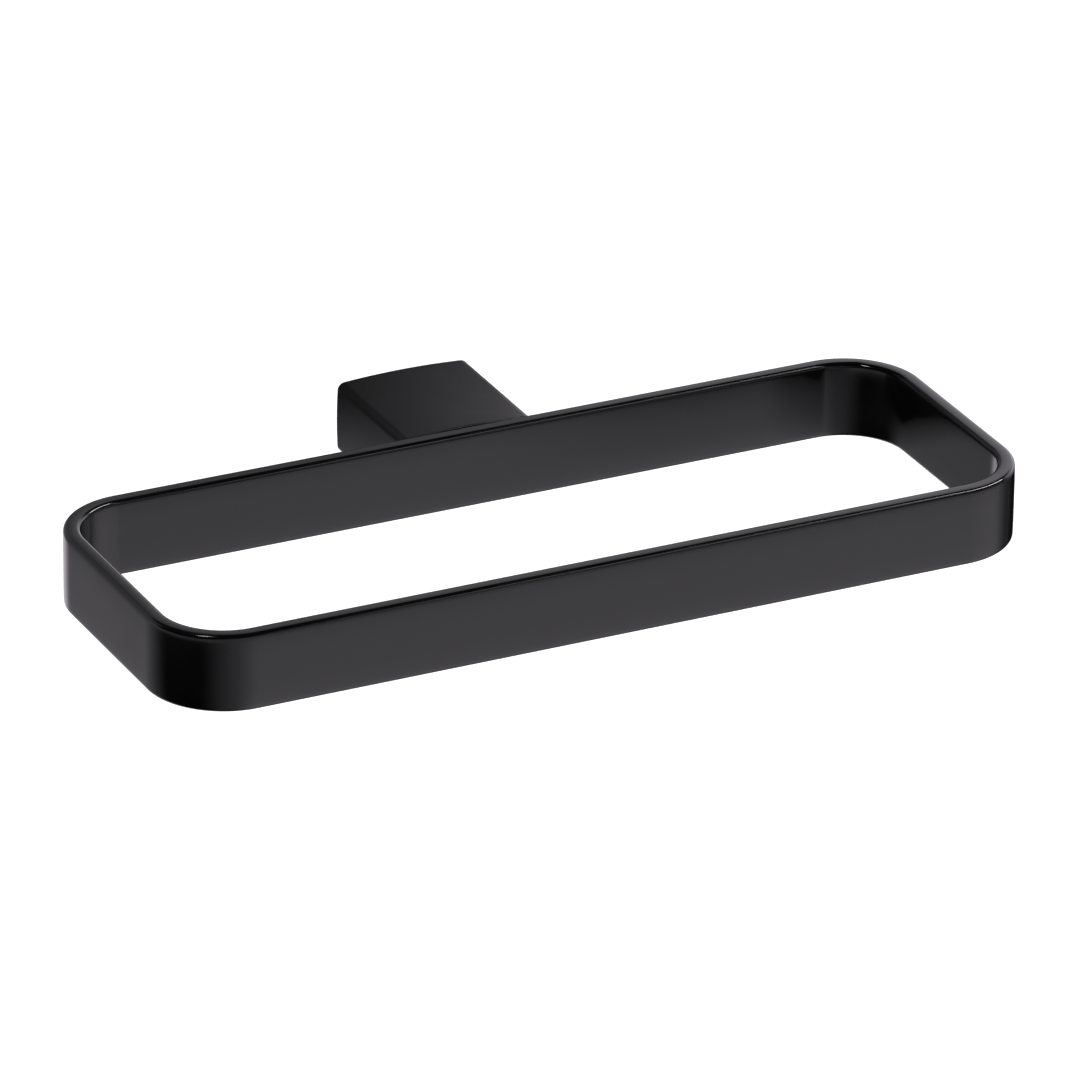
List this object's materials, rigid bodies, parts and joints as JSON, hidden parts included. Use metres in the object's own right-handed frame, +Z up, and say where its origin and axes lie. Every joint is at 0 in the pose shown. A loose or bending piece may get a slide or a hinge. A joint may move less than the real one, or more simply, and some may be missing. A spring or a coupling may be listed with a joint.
{
  "type": "towel ring",
  "caption": "Wall-mounted towel ring: a flat bar bent into a long rounded rectangle, held level by a short hollow post that slides over a concealed wall plate.",
  "frame": {"origin": "middle of the post's wall end, on the wall's face", "axes": "+Y goes into the wall, so the ring stands out along -Y; +X is to the right for someone facing the wall; +Z is up"},
  "size_m": [0.23, 0.1225, 0.02],
  "materials": {
    "ring_lacquer": "black stoved lacquer, semi-gloss",
    "post_lacquer": "black stoved lacquer, satin",
    "screw_steel": "plain stainless steel",
    "plate_zinc": "zinc, as cast",
    "grub_steel": "black oxide on steel"
  },
  "bodies": {
    "root": {"ring": "ring_lacquer", "post": "post_lacquer", "ring_screws": "screw_steel", "wall_plate": "plate_zinc", "grub_screw": "grub_steel"}
  },
  "joints": []
}
